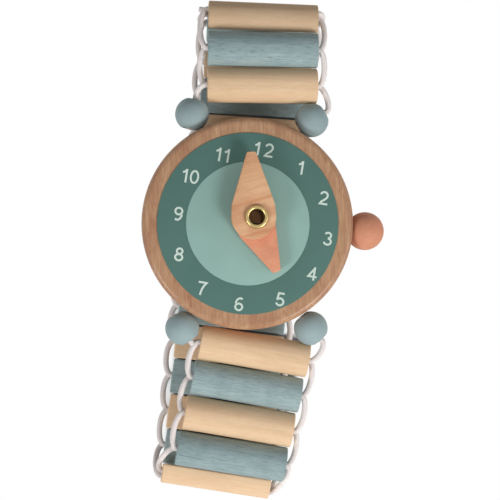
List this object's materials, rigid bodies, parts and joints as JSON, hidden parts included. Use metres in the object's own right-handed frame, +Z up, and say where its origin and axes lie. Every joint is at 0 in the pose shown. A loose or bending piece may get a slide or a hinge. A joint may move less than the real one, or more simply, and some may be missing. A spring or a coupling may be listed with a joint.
{
  "type": "toy wrist watch",
  "caption": "Wooden toy wrist watch with a printed dial, turning hands, a ball crown and a band of half-round slats laced on elastic cord.",
  "frame": {"origin": "middle of the flat land along the crown of the band slat opposite the case, on the surface that the watch lies on", "axes": "+Z up through the dial, +Y from the bottom of the case towards its top, +X towards the crown"},
  "size_m": [0.0508, 0.1057, 0.0237],
  "materials": {
    "case_wood": "bare sanded beech",
    "dial_dark_print": "satin print",
    "dial_pale_print": "satin print",
    "hand_wood": "bare plywood",
    "coral_paint": "matt paint over wood",
    "brass": "polished",
    "bead_paint": "matt paint over wood",
    "slat_paint": "thin matt paint over wood",
    "slat_wood": "bare sanded wood",
    "elastic_cord": "covered elastic"
  },
  "bodies": {
    "slat_11": {"slat_11": "slat_wood", "elastic_11": "elastic_cord"},
    "case": {"case": "case_wood", "dial_ring": "dial_dark_print", "dial_centre": "dial_pale_print", "dial_washer": "brass", "eyelet": "brass", "back_washer": "brass", "crown_ball": "coral_paint", "crown_peg": "slat_wood", "elastic_case_runs": "elastic_cord"},
    "minute_hand": {"minute_hand": "hand_wood"},
    "hour_hand": {"hour_hand": "coral_paint"},
    "bead_top_left": {"bead_top_left": "bead_paint"},
    "bead_top_right": {"bead_top_right": "bead_paint"},
    "bead_bottom_left": {"bead_bottom_left": "bead_paint"},
    "bead_bottom_right": {"bead_bottom_right": "bead_paint"},
    "slat_01": {"slat_01": "slat_wood", "elastic_01": "elastic_cord", "elastic_top_links": "elastic_cord"},
    "slat_02": {"slat_02": "slat_paint", "elastic_02": "elastic_cord"},
    "slat_03": {"slat_03": "slat_wood", "elastic_03": "elastic_cord"},
    "slat_04": {"slat_04": "slat_paint", "elastic_04": "elastic_cord"},
    "slat_05": {"slat_05": "slat_wood", "elastic_05": "elastic_cord"},
    "slat_06": {"slat_06": "slat_paint", "elastic_06": "elastic_cord"},
    "slat_07": {"slat_07": "slat_wood", "elastic_07": "elastic_cord"},
    "slat_08": {"slat_08": "slat_paint", "elastic_08": "elastic_cord"},
    "slat_09": {"slat_09": "slat_wood", "elastic_09": "elastic_cord"},
    "slat_10": {"slat_10": "slat_paint", "elastic_10": "elastic_cord"},
    "slat_12": {"slat_12": "slat_paint", "elastic_12": "elastic_cord"},
    "slat_13": {"slat_13": "slat_wood", "elastic_13": "elastic_cord"},
    "slat_14": {"slat_14": "slat_paint", "elastic_14": "elastic_cord"},
    "slat_15": {"slat_15": "slat_wood", "elastic_15": "elastic_cord"},
    "slat_16": {"slat_16": "slat_paint", "elastic_16": "elastic_cord"},
    "slat_17": {"slat_17": "slat_wood", "elastic_17": "elastic_cord"},
    "slat_18": {"slat_18": "slat_paint", "elastic_18": "elastic_cord"},
    "slat_19": {"slat_19": "slat_wood", "elastic_19": "elastic_cord"},
    "slat_20": {"slat_20": "slat_paint", "elastic_20": "elastic_cord"},
    "slat_21": {"slat_21": "slat_wood", "elastic_bottom_links": "elastic_cord"}
  },
  "joints": [
    {"name": "band_open", "type": "hinge", "parent": "slat_16", "child": "slat_17", "pos_m": [-0.00433, -0.04205, 0.004], "axis": [0.9875, -0.1574, 0], "range_deg": [0, 80.1], "deforming": ["elastic_16"]},
    {"name": "band_01_02", "type": "hinge", "parent": "slat_02", "child": "slat_01", "pos_m": [0.00507, 0.04387, 0.01301], "axis": [0.9999, -0.0131, 0], "range_deg": [0, 11.23], "deforming": ["elastic_01", "elastic_top_links"]},
    {"name": "band_02_03", "type": "hinge", "parent": "slat_03", "child": "slat_02", "pos_m": [0.0052, 0.05138, 0.01353], "axis": [0.9997, -0.0262, 0], "range_deg": [-40.55, 0], "deforming": ["elastic_02"]},
    {"name": "band_03_04", "type": "hinge", "parent": "slat_04", "child": "slat_03", "pos_m": [0.00537, 0.05622, 0.00777], "axis": [0.9993, -0.0366, 0], "range_deg": [-83.71, 0], "deforming": ["elastic_03"]},
    {"name": "band_04_05", "type": "hinge", "parent": "slat_05", "child": "slat_04", "pos_m": [0.00512, 0.0497, 0.004], "axis": [0.9992, -0.0409, 0], "range_deg": [-14.38, 0], "deforming": ["elastic_04"]},
    {"name": "band_05_06", "type": "hinge", "parent": "slat_06", "child": "slat_05", "pos_m": [0.00433, 0.04205, 0.004], "axis": [0.9988, -0.0486, 0], "range_deg": [0, 13.97], "deforming": ["elastic_05"]},
    {"name": "band_06_07", "type": "hinge", "parent": "slat_07", "child": "slat_06", "pos_m": [0.00355, 0.03441, 0.004], "axis": [0.9983, -0.0587, 0], "range_deg": [0, 12.95], "deforming": ["elastic_06"]},
    {"name": "band_07_08", "type": "hinge", "parent": "slat_08", "child": "slat_07", "pos_m": [0.00276, 0.02676, 0.004], "axis": [0.9976, -0.0689, 0], "range_deg": [0, 12.33], "deforming": ["elastic_07"]},
    {"name": "band_08_09", "type": "hinge", "parent": "slat_09", "child": "slat_08", "pos_m": [0.00197, 0.01912, 0.004], "axis": [0.9969, -0.079, 0], "range_deg": [0, 12.12], "deforming": ["elastic_08"]},
    {"name": "band_09_10", "type": "hinge", "parent": "slat_10", "child": "slat_09", "pos_m": [0.00118, 0.01147, 0.004], "axis": [0.996, -0.0892, 0], "range_deg": [0, 12.34], "deforming": ["elastic_09"]},
    {"name": "band_10_11", "type": "hinge", "parent": "slat_11", "child": "slat_10", "pos_m": [0.00039, 0.00382, 0.004], "axis": [0.9951, -0.0993, 0], "range_deg": [0, 12.98], "deforming": ["elastic_10"]},
    {"name": "band_11_12", "type": "hinge", "parent": "slat_11", "child": "slat_12", "pos_m": [-0.00039, -0.00382, 0.004], "axis": [0.994, -0.1094, 0], "range_deg": [-9.37, 0], "deforming": ["elastic_11"]},
    {"name": "band_12_13", "type": "hinge", "parent": "slat_12", "child": "slat_13", "pos_m": [-0.00118, -0.01147, 0.004], "axis": [0.9928, -0.1196, 0], "range_deg": [-10.7, 0], "deforming": ["elastic_12"]},
    {"name": "band_13_14", "type": "hinge", "parent": "slat_13", "child": "slat_14", "pos_m": [-0.00197, -0.01912, 0.004], "axis": [0.9916, -0.1297, 0], "range_deg": [-12.32, 0], "deforming": ["elastic_13"]},
    {"name": "band_14_15", "type": "hinge", "parent": "slat_14", "child": "slat_15", "pos_m": [-0.00276, -0.02676, 0.004], "axis": [0.9902, -0.1397, 0], "range_deg": [-14.19, 0], "deforming": ["elastic_14"]},
    {"name": "band_15_16", "type": "hinge", "parent": "slat_15", "child": "slat_16", "pos_m": [-0.00355, -0.03441, 0.004], "axis": [0.9887, -0.1498, 0], "range_deg": [-16.24, 0], "deforming": ["elastic_15"]},
    {"name": "band_17_18", "type": "hinge", "parent": "slat_17", "child": "slat_18", "pos_m": [-0.00202, -0.0415, 0.01147], "axis": [0.9869, -0.1616, 0], "range_deg": [0, 67.52], "deforming": ["elastic_17"]},
    {"name": "band_18_19", "type": "hinge", "parent": "slat_18", "child": "slat_19", "pos_m": [-0.00047, -0.03412, 0.01147], "axis": [0.9857, -0.1685, 0], "range_deg": [-11.2, 0], "deforming": ["elastic_18"]},
    {"name": "band_19_20", "type": "hinge", "parent": "slat_19", "child": "slat_20", "pos_m": [0.00115, -0.02676, 0.01147], "axis": [0.9843, -0.1762, 0], "range_deg": [-8.23, 0], "deforming": ["elastic_19"]},
    {"name": "band_20_21", "type": "hinge", "parent": "slat_20", "child": "slat_21", "pos_m": [0.00281, -0.01941, 0.01147], "axis": [0.9845, -0.1754, 0], "range_deg": [-8.18, 0], "deforming": ["elastic_20"]},
    {"name": "case_lower_pivot", "type": "hinge", "parent": "slat_21", "child": "case", "pos_m": [0.00411, -0.01199, 0.01147], "axis": [0.9962, -0.0872, 0], "range_deg": [-57.37, 0], "deforming": ["elastic_bottom_links"]},
    {"name": "minute_hand_turn", "type": "hinge", "parent": "case", "child": "minute_hand", "pos_m": [0.00339, 0.01235, 0.02051], "axis": [0, 0, 1], "continuous": true},
    {"name": "hour_hand_turn", "type": "hinge", "parent": "case", "child": "hour_hand", "pos_m": [0.00339, 0.01235, 0.02051], "axis": [0, 0, 1], "continuous": true},
    {"name": "bead_top_left_spin", "type": "hinge", "parent": "case", "child": "bead_top_left", "pos_m": [-0.00967, 0.03397, 0.01411], "axis": [0.2079, 0.9781, 0], "continuous": true},
    {"name": "bead_top_right_spin", "type": "hinge", "parent": "case", "child": "bead_top_right", "pos_m": [0.01539, 0.03279, 0.01411], "axis": [0.866, 0.5, 0], "continuous": true},
    {"name": "bead_bottom_left_spin", "type": "hinge", "parent": "case", "child": "bead_bottom_left", "pos_m": [-0.01174, -0.0107, 0.01411], "axis": [0.5446, -0.8387, 0], "continuous": true},
    {"name": "bead_bottom_right_spin", "type": "hinge", "parent": "case", "child": "bead_bottom_right", "pos_m": [0.0152, -0.0108, 0.01411], "axis": [0.6691, -0.7431, 0], "continuous": true}
  ],
  "couplings": [
    {"joint": "band_01_02", "follows": "band_open", "ratio": 0.14},
    {"joint": "band_02_03", "follows": "band_open", "ratio": -0.5057},
    {"joint": "band_03_04", "follows": "band_open", "ratio": -1.044},
    {"joint": "band_04_05", "follows": "band_open", "ratio": -0.1794},
    {"joint": "band_05_06", "follows": "band_open", "ratio": 0.1742},
    {"joint": "band_06_07", "follows": "band_open", "ratio": 0.1615},
    {"joint": "band_07_08", "follows": "band_open", "ratio": 0.1538},
    {"joint": "band_08_09", "follows": "band_open", "ratio": 0.1512},
    {"joint": "band_09_10", "follows": "band_open", "ratio": 0.1539},
    {"joint": "band_10_11", "follows": "band_open", "ratio": 0.1619},
    {"joint": "band_11_12", "follows": "band_open", "ratio": -0.1168},
    {"joint": "band_12_13", "follows": "band_open", "ratio": -0.1334},
    {"joint": "band_13_14", "follows": "band_open", "ratio": -0.1536},
    {"joint": "band_14_15", "follows": "band_open", "ratio": -0.1769},
    {"joint": "band_15_16", "follows": "band_open", "ratio": -0.2025},
    {"joint": "band_17_18", "follows": "band_open", "ratio": 0.8421},
    {"joint": "band_18_19", "follows": "band_open", "ratio": -0.1397},
    {"joint": "band_19_20", "follows": "band_open", "ratio": -0.1026},
    {"joint": "band_20_21", "follows": "band_open", "ratio": -0.102},
    {"joint": "case_lower_pivot", "follows": "band_open", "ratio": -0.7155}
  ]
}
